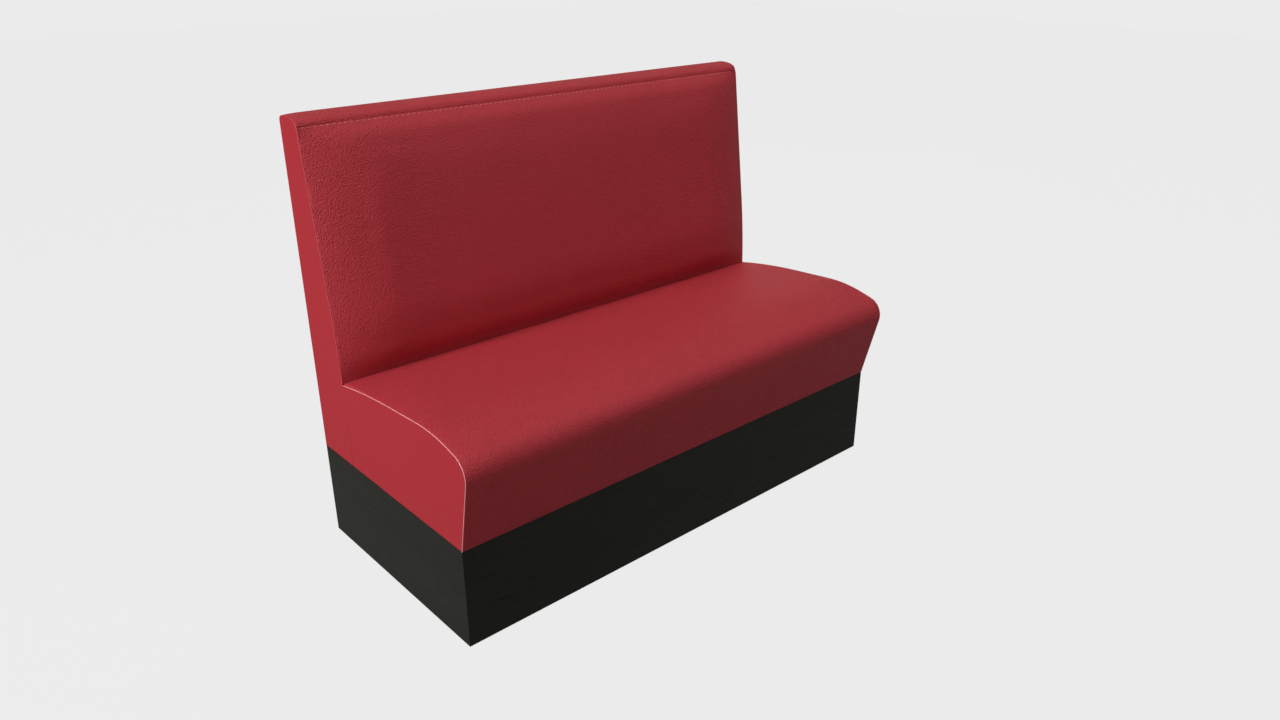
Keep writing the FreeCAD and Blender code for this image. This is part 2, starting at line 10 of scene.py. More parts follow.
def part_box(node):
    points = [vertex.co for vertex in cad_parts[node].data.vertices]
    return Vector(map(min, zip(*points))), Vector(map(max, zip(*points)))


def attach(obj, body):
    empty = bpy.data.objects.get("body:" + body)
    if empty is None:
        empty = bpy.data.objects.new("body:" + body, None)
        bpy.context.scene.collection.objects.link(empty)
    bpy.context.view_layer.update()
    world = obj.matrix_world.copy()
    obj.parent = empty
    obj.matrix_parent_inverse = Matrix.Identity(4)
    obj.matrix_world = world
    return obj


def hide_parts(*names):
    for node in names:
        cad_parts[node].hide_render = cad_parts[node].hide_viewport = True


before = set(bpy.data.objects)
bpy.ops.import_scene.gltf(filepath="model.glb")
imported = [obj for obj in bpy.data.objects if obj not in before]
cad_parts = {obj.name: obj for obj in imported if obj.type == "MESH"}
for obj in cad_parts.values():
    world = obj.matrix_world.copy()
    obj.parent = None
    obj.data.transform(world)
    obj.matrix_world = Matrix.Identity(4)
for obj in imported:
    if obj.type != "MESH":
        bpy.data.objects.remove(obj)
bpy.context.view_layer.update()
scene = bpy.context.scene

# A booth bench: vinyl pads over foam, piping, stitches and webbing around the packed
# frame. Lengths of the bench are in millimetres, and each piece's points are turned into
# metres as it is made. Profiles are given as (depth behind the plinth's front, height above
# the plinth's top), and X runs along the bench from its middle.
PLINTH_FRONT_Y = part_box("plinth_front_panel")[0].y * 1000
DECK_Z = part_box("plinth_front_panel")[1].z * 1000
SIDE_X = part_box("plinth_right_panel")[1].x * 1000
PAD_END_X = SIDE_X - 1.7
SOFT_GAP = 0.3
BASE_GAP = 0.2
FRAME_TOP = 762.0

# Seat
JOINT_DEPTH = 459.5
JOINT_HEIGHT = 204.4
NOSE_REACH = 43.3
NOSE_HEIGHT = 208.2
FRONT_STRIP = 13.8
FOAM_LOW = 146.6
HEM = 0.9

# Back: its front leans a little up to the kink, and more above it
BACK_FOOT_DEPTH = JOINT_DEPTH + SOFT_GAP
PAD_LOW = 190.0
FOOT_LEAN = 2.7
KINK_DEPTH = 462.5
KINK_HEIGHT = 307.0
RAKE_RUN = 55.8
RAKE_TOP = 773.3
REAR_DEPTH = 596.0
SUPPORT_TOP = 765.0
BACK_PAD_THICKNESS = 45.0
BACK_CORE_HEIGHTS = (PAD_LOW, 330.0, 480.0, 630.0, FRAME_TOP)
# Heights down the back's front, each with its share of the swell
BACK_TURNS = (
    (740.0, 0.64),
    (695.0, 0.93),
    (630.0, 1.0),
    (340.0, 1.0),
    (262.0, 0.72),
    (219.0, 0.0),
    (PAD_LOW, 0.0),
)

# Top roll
TOP_DEPTH = 568.0
TOP_HEIGHT = 782.5
TOP_REAR_HEIGHT = 776.5
ROLL_REAR_LOW = 742.0
SEAM_DEPTH = 519.3
SEAM_EDGE = 0.5

# Swell of the covers, and how it comes up from a pad's ends: over a short roll, which takes
# the given share of it at the left or the right end, and over a longer fade
SEAT_SWELL = 7.0
NOSE_EXTRA_SWELL = 2.5
NOSE_RISE_START = -560.0
NOSE_RISE_LENGTH = 400.0
BACK_SWELL = 35.0
ROLL_SWELL = 2.5
ROLL_RIGHT_SWELL = 2.0
SEAT_ENDS = {"roll": 2.5, "fade": 70.0, "left": 0.12, "right": 0.9}
JOINT_ENDS = {"roll": 2.5, "fade": 70.0, "left": 0.9, "right": 0.9}
BACK_ENDS = {"roll": 2.5, "fade": 145.0, "left": 0.04, "right": 0.04}
ROLL_ENDS = {"roll": 4.0, "fade": 40.0, "left": 0.3, "right": 1.0}
# How far the seat's top, its nose and its joint with the back swell at its end seams
SEAM_SWELL = {"left": (0.0, 0.0, 0.6), "right": (4.5, 9.5, 4.5)}

# Cloth simulation
STATION_SPACING = 8.0
CLOTH_FRAMES = 20
CLOTH_STIFFNESS = 20.0
CLOTH_PRESSURE = 4.0
CALM_ROUNDS = 5

# Side pads, rear cover and piping
SIDE_PAD_THICKNESS = 4.0
SIDE_PAD_RIM = 1.0
SIDE_FOOT = 3.0
REAR_COVER_THICKNESS = 1.5
REAR_COVER_RIM = 0.7
REAR_COVER_TOP = 741.5
RIM_STEPS = 5
SEAM_INSET = 1.9
PIPE_RADIUS = 1.0
PIPE_PROUD = 0.4
PIPE_SIDES = 12

# Stitches below the top roll
STITCH_HEIGHT = 761.0
STITCH_PITCH = 13.4
STITCH_LENGTH = 6.6
STITCH_RADIUS = 0.55
STITCH_ROW_END = 636.0
STITCH_STEPS = 6
STITCH_SIDES = 6

# Webbing under the seat foam
BOARD_INNER_X = 628.0
STRAP_END_X = 643.0
STRAP_HEIGHT = 143.0
STRAP_HALF_THICKNESS = 0.9
LONG_HALF_WIDTH = 30.0
LONG_COUNT = 12
LONG_SIDE_GAP = 34.0
LONG_ENDS = (-12.1, 456.5)
LONG_POINTS = 24
CROSS_HALF_WIDTH = 25.0
CROSS_COUNT = 4
CROSS_FIRST_DEPTH = 88.0
CROSS_RUN = 246.5
CROSS_POINTS = 430
WEAVE_RISE = 2.3
WEAVE_HOLD = 28.0
# The rounded edge of a flat strap, as shares of its half width and half thickness
STRAP_RING = ((-1, 0), (-0.97, -1), (0, -1), (0.97, -1), (1, 0), (0.97, 1), (0, 1), (-0.97, 1))

# Stage and camera, in metres and degrees
FLOOR_REACH = 14
FLOOR_LEVEL = -0.0005
FLOOR_MATTE = (0.16, 0.16, 0.15, 1)
FLOOR_GLOW = (0.934, 0.934, 0.934, 1)
FLOOR_GLOW_SHARE = 0.88
FLOOR_MIRROR_SHARE = 0.4
WORLD_DIM = (0.022, 0.022, 0.021, 1)
WORLD_PALE = (0.831, 0.831, 0.831, 1)
WORLD_MIRRORED = (0.46, 0.45, 0.38, 1)
PICTURE_WIDTH = 1280
CAMERA_PLACE = (-1.4814, -1458.6 / 1000 + PLINTH_FRONT_Y / 1000, 1.3766)
CAMERA_DOWN = 23.7536
CAMERA_TURN = 41.8525


# Profiles


def seat_path(swell, nose_swell, joint_swell):
    corners = [
        (JOINT_DEPTH - SOFT_GAP, JOINT_HEIGHT + joint_swell),
        (340.0, 224.6 + swell),
        (77.6, 239.7 + swell),
        (-NOSE_REACH - 0.9 * nose_swell, NOSE_HEIGHT + 0.6 * swell),
        (0.0, 0.0),
    ]
    return corners, [90.0, 60.0, 44.0]


def raked_depth(height):
    if height < KINK_HEIGHT:
        return BACK_FOOT_DEPTH + (height - PAD_LOW) / (KINK_HEIGHT - PAD_LOW) * FOOT_LEAN
    return KINK_DEPTH + (height - KINK_HEIGHT) / (RAKE_TOP - KINK_HEIGHT) * RAKE_RUN


def back_front_path(swell):
    corners = [(SEAM_DEPTH - 0.06 * swell, 764.2)]
    corners += [(raked_depth(height) - share * swell, height) for height, share in BACK_TURNS]
    return corners, [12.0, 18.0, 25.0, 38.0, 20.0, 12.0]


def top_roll_path(swell):
    corners = [
        (REAR_DEPTH, ROLL_REAR_LOW),
        (REAR_DEPTH, TOP_REAR_HEIGHT + swell),
        (TOP_DEPTH, TOP_HEIGHT + swell),
        (537.0, 779.0 + swell),
        (522.2 - 0.7 * swell, 772.8 + 0.6 * swell),
        (SEAM_DEPTH - 0.8 * swell, 764.6),
    ]
    return corners, [9.0, 14.0, 9.0, 6.0]


def back_side_path():
    corners = [
        (REAR_DEPTH, 0.0),
        (REAR_DEPTH, TOP_REAR_HEIGHT),
        (TOP_DEPTH, TOP_HEIGHT),
        (KINK_DEPTH + RAKE_RUN, RAKE_TOP),
        (KINK_DEPTH, KINK_HEIGHT),
        (BACK_FOOT_DEPTH, PAD_LOW),
    ]
    return corners, [9.0, 14.0, 19.0, 95.0]


def support_depth(height):
    """Where the back pad meets its straight support panel."""
    lean = (raked_depth(SUPPORT_TOP) - raked_depth(PAD_LOW)) / (SUPPORT_TOP - PAD_LOW)
    return raked_depth(PAD_LOW) + lean * (height - PAD_LOW) + BACK_PAD_THICKNESS


def unit(vector):
    return vector / np.linalg.norm(vector)


def headings(line):
    """A unit vector along a line of points, for each of them."""
    run = np.gradient(line, axis=0)
    return run / np.linalg.norm(run, axis=1)[:, None]


def path_points(path, counts):
    """Points along straight runs joined by arcs; counts has the steps of each run and arc."""
    corners = [np.array(corner, float) for corner in path[0]]
    points = []
    start = corners[0]
    for index, blend in enumerate(path[1]):
        before, corner, after = corners[index : index + 3]
        into, out = unit(before - corner), unit(after - corner)
        arc_start, arc_end = corner + into * blend, corner + out * blend
        weight = math.sqrt(max(0.0, (1 - float(into @ out)) / 2))
        steps = counts[2 * index]
        points += [start + (arc_start - start) * k / steps for k in range(steps)]
        steps = counts[2 * index + 1]
        for k in range(steps):
            t = k / steps
            a, b, c = (1 - t) ** 2, 2 * t * (1 - t) * weight, t**2
            points.append((arc_start * a + corner * b + arc_end * c) / (a + b + c))
        start = arc_end
    steps = counts[-1]
    points += [start + (corners[-1] - start) * k / steps for k in range(steps + 1)]
    return np.array(points)


def path_counts(path, spacing):
    """How many steps each run and arc of a path takes, for steps of about the spacing."""
    corners = [np.array(corner, float) for corner in path[0]]
    blends = [0.0, *path[1], 0.0]
    counts = []
    for index in range(len(corners) - 1):
        whole = np.linalg.norm(corners[index + 1] - corners[index])
        run = whole - blends[index] - blends[index + 1]
        counts.append(max(1, round(run / spacing)))
        if index < len(path[1]):
            counts.append(max(4, round(2 * path[1][index] / spacing)))
    return counts


def relaxed(points, rounds):
    """Points or values along a line, evened out so that they run smoothly on."""
    points = points.copy()
    for _ in range(rounds):
        points[1:-1] += 0.5 * ((points[:-2] + points[2:]) / 2 - points[1:-1])
    return points


def moved_in(points, distance):
    """Points of an open path, moved to its left by a distance for each."""
    run = headings(points)
    left = np.stack([-run[:, 1], run[:, 0]], axis=1)
    return points + left * np.reshape(distance, (-1, 1))


def end_share(x, ends):
    """The share of a pad's swell at x, from its short roll and its longer fade."""
    distance = PAD_END_X - abs(x)
    over = np.clip(distance / ends["roll"], 0, 1)
    along = np.clip(distance / ends["fade"], 0, 1)
    roll_share = ends["right" if x > 0 else "left"]
    return roll_share * np.sqrt(1 - (1 - over) ** 2) + (1 - roll_share) * (1 - (1 - along) ** 2)


def stations(roll):
    """Places along X from end to end, close together where a pad's end rolls over."""
    inside = PAD_END_X - roll
    close = PAD_END_X - roll * (1 - np.cos(np.linspace(0, math.pi / 2, 9)))
    inner = np.linspace(inside, -inside, round(2 * inside / STATION_SPACING) + 1)
    places = np.concatenate([close, inner[1:-1], -close[::-1]])
    return places[::-1]


# Meshes


def in_frame(x, outline):
    """Points of a profile at x, in millimetres, as points of the frame in metres."""
    outline = np.asarray(outline)
    x = np.broadcast_to(x, len(outline))
    return np.stack([x, outline[:, 0] + PLINTH_FRONT_Y, outline[:, 1] + DECK_Z], axis=1) / 1000


def closed_faces(loops, count, base):
    """The sides and the two ends of a closed run of loops of count points each."""
    faces = []
    for row in range(loops - 1):
        for k in range(count):
            a, b = base + row * count + k, base + row * count + (k + 1) % count
            faces.append((a, b, b + count, a + count))
    last = base + (loops - 1) * count
    faces.append(tuple(base + k for k in range(count)))
    faces.append(tuple(last + k for k in reversed(range(count))))
    return faces


def loft(name, *runs):
    """One smooth piece of closed runs, each through loops of the same number of points."""
    points, faces = [], []
    for loops in runs:
        faces += closed_faces(len(loops), len(loops[0]), len(points))
        points += [tuple(point) for loop in loops for point in loop]
    mesh = bpy.data.meshes.new(name)
    mesh.from_pydata(points, [], faces)
    mesh.validate()
    mesh.polygons.foreach_set("use_smooth", [True] * len(mesh.polygons))
    work = bmesh.new()
    work.from_mesh(mesh)
    bmesh.ops.recalc_face_normals(work, faces=work.faces)
    work.to_mesh(mesh)
    work.free()
    piece = bpy.data.objects.new(name, mesh)
    scene.collection.objects.link(piece)
    return piece


def round_loops(line, sides, ups, radius, count):
    """Rings round a line of points, each in the plane of its side and its up vector."""
    turns = [2 * math.pi * k / count for k in range(count)]
    return [
        np.array([centre + radius * (math.cos(t) * side + math.sin(t) * up) for t in turns])
        for centre, side, up in zip(line, sides, ups)
    ]


def shrunk(outline, distance):
    """A closed outline, counter-clockwise, moved inwards with its corners kept."""
    before = np.roll(outline, 1, axis=0)
    after = np.roll(outline, -1, axis=0)
    run_in = (outline - before) / np.linalg.norm(outline - before, axis=1)[:, None]
    run_out = (after - outline) / np.linalg.norm(after - outline, axis=1)[:, None]
    left_in = np.stack([-run_in[:, 1], run_in[:, 0]], axis=1)
    left_out = np.stack([-run_out[:, 1], run_out[:, 0]], axis=1)
    share = 1 + np.sum(left_in * left_out, axis=1)[:, None]
    return outline + distance * (left_in + left_out) / share


def panel(name, outline, base, face, rounding, place):
    """A thin pad of a closed outline, from a base level to a face level with a rounded rim."""
    outline = np.asarray(outline, float)
    following = np.roll(outline, -1, axis=0)
    area = np.sum(outline[:, 0] * following[:, 1] - outline[:, 1] * following[:, 0])
    if area < 0:
        outline = outline[::-1]
    toward = math.copysign(1.0, face - base)
    rings = [place(outline, base), place(outline, face - toward * rounding)]
    for step in range(1, RIM_STEPS + 1):
        angle = math.pi / 2 * step / RIM_STEPS
        rim = shrunk(outline, rounding * (1 - math.cos(angle)))
        rings.append(place(rim, face - toward * rounding * (1 - math.sin(angle))))
    rings.append(place(shrunk(outline, 3 * rounding), face))
    return loft(name, rings)


# Padding filled by cloth simulation


def normals_of(piece):
    return np.array([vertex.normal for vertex in piece.data.vertices])


def place_points(piece, points):
    piece.data.vertices.foreach_set("co", points.ravel())
    piece.data.update()


def calmed(steps, held):
    """The steps of a grid of points, evened out so that the cover lies without ripples."""
    for _ in range(CALM_ROUNDS):
        steps[1:-1] += 0.5 * ((steps[:-2] + steps[2:]) / 2 - steps[1:-1])
        steps[:, 1:-1] += 0.5 * ((steps[:, :-2] + steps[:, 2:]) / 2 - steps[:, 1:-1])
        steps[held] = 0.0
    return steps


def blown_up(piece, held):
    """The points of a closed piece after cloth simulation from inside, its held ones fixed."""
    group = piece.vertex_groups.new(name="held")
    for index in np.nonzero(held)[0]:
        group.add([int(index)], 1.0, "REPLACE")
    cloth = piece.modifiers.new("Cloth", "CLOTH")
    cloth.settings.quality = 4
    cloth.settings.mass = 0.2
    cloth.settings.tension_stiffness = CLOTH_STIFFNESS
    cloth.settings.compression_stiffness = CLOTH_STIFFNESS
    cloth.settings.shear_stiffness = CLOTH_STIFFNESS
    cloth.settings.bending_stiffness = 2.0
    cloth.settings.use_pressure = True
    cloth.settings.uniform_pressure_force = CLOTH_PRESSURE
    cloth.settings.vertex_group_mass = "held"
    cloth.settings.effector_weights.gravity = 0.0
    cloth.collision_settings.use_collision = False
    cloth.point_cache.frame_start = 1
    cloth.point_cache.frame_end = CLOTH_FRAMES
    for number in range(1, CLOTH_FRAMES + 1):
        scene.frame_set(number)
    moved = np.empty(len(held) * 3)
    graph = bpy.context.evaluated_depsgraph_get()
    piece.evaluated_get(graph).data.vertices.foreach_get("co", moved)
    piece.modifiers.remove(cloth)
    piece.vertex_groups.remove(group)
    scene.frame_set(1)
    return moved.reshape(-1, 3)


def fill(piece, held, limit):
    """Simulates a piece's filling: each point moves no further than its limit, the foam under
    the cover lets nothing sink in, and the steps are evened out over the grid."""
    rows = len(held)
    held, limit = held.ravel(), limit.ravel()
    start = np.empty(len(held) * 3)
    piece.data.vertices.foreach_get("co", start)
    start = start.reshape(-1, 3)
    normals = normals_of(piece)
    step = blown_up(piece, held) - start
    step -= normals * np.minimum(0, np.sum(step * normals, axis=1))[:, None]
    reach = np.linalg.norm(step, axis=1)
    ratio = np.where(reach > limit, limit / np.maximum(reach, 1e-9), 1.0)
    step *= ratio[:, None]
    step = calmed(step.reshape(rows, -1, 3), held.reshape(rows, -1)).reshape(-1, 3)
    place_points(piece, start + step)


def slackness(outline):
    """Less than 1 where an outline turns tightly, as stretched cloth there lies on the foam."""
    run = np.diff(outline, axis=0)
    length = np.linalg.norm(run, axis=1)
    heading = np.unwrap(np.arctan2(run[:, 1], run[:, 0]))
    bend = np.zeros(len(outline))
    bend[1:-1] = np.abs(np.diff(heading)) / ((length[:-1] + length[1:]) / 2)
    return 1 / (1 + (60 * relaxed(bend, 20)) ** 2)


def padded_piece(name, ends, skin, core, give, margin):
    """A pad whose skin is blown up from a slightly smaller shape, closed by its core points.

    The cover gives way by up to the given length, and less within the margin of its seams.
    """
    loops, held, limit = [], [], []
    for x in stations(ends["roll"]):
        outer = skin(x)
        along = np.concatenate([[0], np.cumsum(np.linalg.norm(np.diff(outer, axis=0), axis=1))])
        nearest = np.minimum(np.minimum(along, along[-1] - along), PAD_END_X - abs(x))
        slack = np.clip(nearest / margin, 0, 1)
        slack = give * slack**2 * (3 - 2 * slack) * slackness(outer)
        inner = core(outer)
        loops.append(in_frame(x, np.concatenate([moved_in(outer, slack), inner])))
        held.append(np.concatenate([slack < 0.02 * give, np.ones(len(inner), bool)]))
        limit.append(np.concatenate([slack, np.zeros(len(inner))]) / 1000)
    piece = loft(name, loops)
    fill(piece, np.array(held), np.array(limit))
    smoothing = piece.modifiers.new("Subdivision", "SUBSURF")
    smoothing.levels = smoothing.render_levels = 1
    return piece


seat_counts = path_counts(seat_path(SEAT_SWELL, SEAT_SWELL, SEAT_SWELL), 7.0)
back_counts = path_counts(back_front_path(BACK_SWELL), 8.0)
back_counts[0] = 12
roll_counts = path_counts(top_roll_path(ROLL_SWELL), 3.0)
side_counts = path_counts(back_side_path(), 3.0)


def with_end_edge(line, distance):
    """A line with one more point, close before its last, which keeps the seam there sharp."""
    edge = line[-1] + unit(line[-2] - line[-1]) * distance
    return np.insert(line, len(line) - 1, edge, axis=0)


def seat_line(swell, nose_swell, joint_swell):
    line = path_points(seat_path(swell, nose_swell, joint_swell), seat_counts)
    return with_end_edge(relaxed(line, 1), HEM)


def seat_skin(x):
    """The seat's cover, which is fuller at its right end and over most of its nose."""
    share = end_share(x, SEAT_ENDS)
    risen = np.clip((x - NOSE_RISE_START) / NOSE_RISE_LENGTH, 0, 1)
    least, least_nose = SEAM_SWELL["right"][:2] if x > 0 else (0.0, 0.0)
    swell = max(SEAT_SWELL * share, least)
    nose_swell = max((SEAT_SWELL + NOSE_EXTRA_SWELL * risen) * share, least_nose)
    joint_swell = max(SEAT_SWELL * end_share(x, JOINT_ENDS), swell)
    return seat_line(swell, nose_swell, joint_swell)


def seat_core(outer):
    """Points round the inside of the seat pad: the front strip's back, and the foam's base."""
    lean = NOSE_REACH / NOSE_HEIGHT
    face = FRONT_STRIP * math.hypot(1.0, lean)
    return np.array(
        [
            (outer[-1][0] + HEM, 0.0),
            (outer[-1][0] + face, 0.0),
            (face - lean * 70.0, 70.0),
            (face - lean * FOAM_LOW, FOAM_LOW),
            (120.0, FOAM_LOW),
            (280.0, FOAM_LOW),
            (outer[0][0], FOAM_LOW),
        ]
    )


def back_skin(x):
    """The back's front cover, from the seam below the top roll down behind the seat."""
    swell = BACK_SWELL * end_share(x, BACK_ENDS)
    line = relaxed(path_points(back_front_path(swell), back_counts), 2)
    return np.insert(line, 1, line[0] + unit(line[1] - line[0]) * SEAM_EDGE, axis=0)


def back_core(outer):
    """Points up the back of the back pad, and over its top to the seam."""
    rise = [(support_depth(height) - SOFT_GAP, height) for height in BACK_CORE_HEIGHTS]
    return np.array([*rise, (outer[0][0] + SEAM_EDGE, outer[0][1])])


def roll_skin(x):
    """The top roll's cover, from the rear over the top and down to the seam."""
    least = ROLL_RIGHT_SWELL if x > 0 else 0.0
    swell = max(ROLL_SWELL * end_share(x, ROLL_ENDS), least)
    return with_end_edge(path_points(top_roll_path(swell), roll_counts), SEAM_EDGE)


def roll_core(outer):
    """Points from the seam back along the frame's top, and down behind the roll's hem."""
    low = FRAME_TOP + SOFT_GAP
    rear = REAR_DEPTH - 1.8
    seam = (outer[-1][0] + SEAM_EDGE, outer[-1][1])
    return np.array([seam, (524.0, low), (560.0, low), (rear, low), (rear, ROLL_REAR_LOW)])


seat_pad = padded_piece("seat_pad", SEAT_ENDS, seat_skin, seat_core, give=2.4, margin=60.0)
back_pad = padded_piece("back_pad", BACK_ENDS, back_skin, back_core, give=3.5, margin=110.0)
top_roll = padded_piece("top_roll", ROLL_ENDS, roll_skin, roll_core, give=0.7, margin=14.0)
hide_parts("seat_cover", "seat_foam", "seat_front_foam")
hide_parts("back_front_cover", "back_foam")
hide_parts("top_roll_cover", "top_roll_foam")


# Side pads and piping


def back_side_line():
    return relaxed(path_points(back_side_path(), side_counts), 1)


def seat_side_outline(name):
    upper = moved_in(seat_line(*SEAM_SWELL[name]), SEAM_INSET)
    upper = upper[upper[:, 1] > SIDE_FOOT]
    joint = JOINT_DEPTH - SOFT_GAP
    upper[0, 0] = joint
    return np.concatenate([upper, [(upper[-1, 0] + 0.6, BASE_GAP), (joint, BASE_GAP)]])


def back_side_outline():
    upper = moved_in(back_side_line(), SEAM_INSET)
    upper[0, 1] = BASE_GAP
    foot = [(BACK_FOOT_DEPTH, upper[-1, 1]), (BACK_FOOT_DEPTH, BASE_GAP)]
    return np.concatenate([upper, foot])


def side_pad(name, outline, side):
    """A side cover with its padding, on the left or the right of the bench."""

    def place(points, level):
        return in_frame(side * level, points)

    return panel(name, outline, SIDE_X - SIDE_PAD_THICKNESS, SIDE_X, SIDE_PAD_RIM, place)


def piping(name, line, x):
    """A round welt along a seam of a side."""
    line = in_frame(x, moved_in(line, PIPE_RADIUS - PIPE_PROUD))
    sides = np.broadcast_to((1.0, 0.0, 0.0), line.shape)
    ups = np.cross(headings(line), sides)
    return loft(name, round_loops(line, sides, ups, PIPE_RADIUS / 1000, PIPE_SIDES))


upholstery = [seat_pad, back_pad, top_roll]
pipings = []
for name, side in (("left", -1), ("right", 1)):
    seat_side = side_pad(f"seat_side_pad_{name}", seat_side_outline(name), side)
    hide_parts(f"seat_side_cover_{name}")
    back_side = side_pad(f"back_side_pad_{name}", back_side_outline(), side)
    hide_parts(f"back_side_cover_{name}")
    for pad in (seat_side, back_side):
        upholstery.append(pad)
    pipe_x = side * (SIDE_X + PIPE_PROUD - PIPE_RADIUS)
    seat_pipe = piping(f"seat_welt_{name}", seat_line(*SEAM_SWELL[name]), pipe_x)
    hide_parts(f"seat_piping_{name}")
    back_pipe = piping(f"back_welt_{name}", back_side_line(), pipe_x)
    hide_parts(f"back_piping_{name}")
    pipings += [seat_pipe, back_pipe]


def rear_place(outline, level):
    points = np.stack([outline[:, 0], np.full(len(outline), level), outline[:, 1]], axis=1)
    return (points + (0, PLINTH_FRONT_Y, DECK_Z)) / 1000


rear_outline = [
    (-PAD_END_X, BASE_GAP),
    (PAD_END_X, BASE_GAP),
    (PAD_END_X, REAR_COVER_TOP),
    (-PAD_END_X, REAR_COVER_TOP),
]
rear_base = REAR_DEPTH - REAR_COVER_THICKNESS
outside_back = panel(
    "outside_back_skin", rear_outline, rear_base, REAR_DEPTH, REAR_COVER_RIM, rear_place
)
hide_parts("outside_back_cover")
upholstery.append(outside_back)


# Stitches along the seam below the top roll


def stitch_line(surface, middle):
    """Points along a stitch that lies on a surface and dips in at its ends."""
    height = (STITCH_HEIGHT + DECK_Z) / 1000
    line = []
    for step in range(STITCH_STEPS + 1):
        share = step / STITCH_STEPS
        x = (middle + STITCH_LENGTH * (share - 0.5)) / 1000
        hit, normal, _, _ = surface.ray_cast(Vector((x, -1.0, height)), Vector((0, 1, 0)))
        lift = STITCH_RADIUS * (1.3 * math.sin(math.pi * share) - 0.75)
        line.append(np.array(hit + normal * lift / 1000))
    return np.array(line)


def stitch_loops(line):
    run = headings(line)
    sides = np.cross(run, (0, 1, 0))
    sides /= np.linalg.norm(sides, axis=1)[:, None]
    return round_loops(line, sides, np.cross(sides, run), STITCH_RADIUS / 1000, STITCH_SIDES)


cover = BVHTree.FromObject(back_pad, bpy.context.evaluated_depsgraph_get())
stitch_count = int(2 * STITCH_ROW_END / STITCH_PITCH) + 1
stitch_middles = [-STITCH_ROW_END + STITCH_PITCH * number for number in range(stitch_count)]
stitches = loft(
    "top_seam_stitches", *[stitch_loops(stitch_line(cover, x)) for x in stitch_middles]
)


# Webbing under the seat foam


def strap_centres():
    reach = BOARD_INNER_X - LONG_SIDE_GAP - LONG_HALF_WIDTH
    return [-reach + 2 * reach * number / (LONG_COUNT - 1) for number in range(LONG_COUNT)]


def ribbon(centres, across, half_width):
    """Loops round a flat strap with rounded edges that follows a line of points."""
    centres = np.asarray(centres, float)
    across = np.asarray(across, float)
    loops = []
    for centre, along in zip(centres, headings(centres)):
        up = np.cross(along, across)
        ring = [
            centre + across * half_width * u + up * STRAP_HALF_THICKNESS * w
            for u, w in STRAP_RING
        ]
        loops.append(np.array(ring) / 1000)
    return loops


def long_lines():
    """The straps that run from the front of the seat to its rear."""
    level = DECK_Z + STRAP_HEIGHT
    ys = np.linspace(*LONG_ENDS, LONG_POINTS) + PLINTH_FRONT_Y
    return [[(x, y, level) for y in ys] for x in strap_centres()]


def cross_lines():
    """The straps that run from side to side, woven over and under the long ones."""
    xs = np.linspace(-STRAP_END_X, STRAP_END_X, CROSS_POINTS)
    lines = []
    for number in range(CROSS_COUNT):
        depth = CROSS_FIRST_DEPTH + CROSS_RUN * number / (CROSS_COUNT - 1) + CROSS_HALF_WIDTH
        knots, levels = [-STRAP_END_X, -BOARD_INNER_X], [0.0, 0.0]
        for count, centre in enumerate(strap_centres()):
            level = WEAVE_RISE if (count + number) % 2 == 0 else -WEAVE_RISE
            knots += [centre - WEAVE_HOLD, centre + WEAVE_HOLD]
            levels += [level, level]
        knots += [BOARD_INNER_X, STRAP_END_X]
        levels += [0.0, 0.0]
        zs = relaxed(np.interp(xs, knots, levels), 12)
        ys = np.full(CROSS_POINTS, depth + PLINTH_FRONT_Y)
        lines.append(np.stack([xs, ys, zs + DECK_Z + STRAP_HEIGHT], axis=1))
    return lines


long_straps = loft(
    "seat_straps_long", *[ribbon(line, (1, 0, 0), LONG_HALF_WIDTH) for line in long_lines()]
)
cross_straps = loft(
    "seat_straps_cross", *[ribbon(line, (0, 1, 0), CROSS_HALF_WIDTH) for line in cross_lines()]
)
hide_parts("webbing_long_straps")
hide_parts("webbing_cross_straps")


# Materials


class Nodes:
    """A small helper to lay out the nodes of one material or world."""

    def __init__(self, tree):
        self.tree = tree

    def feed(self, socket, value):
        """Sets a socket to a value, or joins it to another node's output."""
        if isinstance(value, bpy.types.NodeSocket):
            self.tree.links.new(value, socket)
        else:
            socket.default_value = value

    def node(self, kind, inputs=None, **values):
        made = self.tree.nodes.new(kind)
        for key, value in values.items():
            setattr(made, key, value)
        for key, value in (inputs or {}).items():
            self.feed(made.inputs[key], value)
        return made

    def maths(self, operation, *terms):
        made = self.node("ShaderNodeMath", dict(enumerate(terms)), operation=operation)
        return made.outputs[0]

    def mixed(self, share, first, second):
        """The first shader, and the given share of the second."""
        return self.node("ShaderNodeMixShader", {0: share, 1: first, 2: second}).outputs[0]


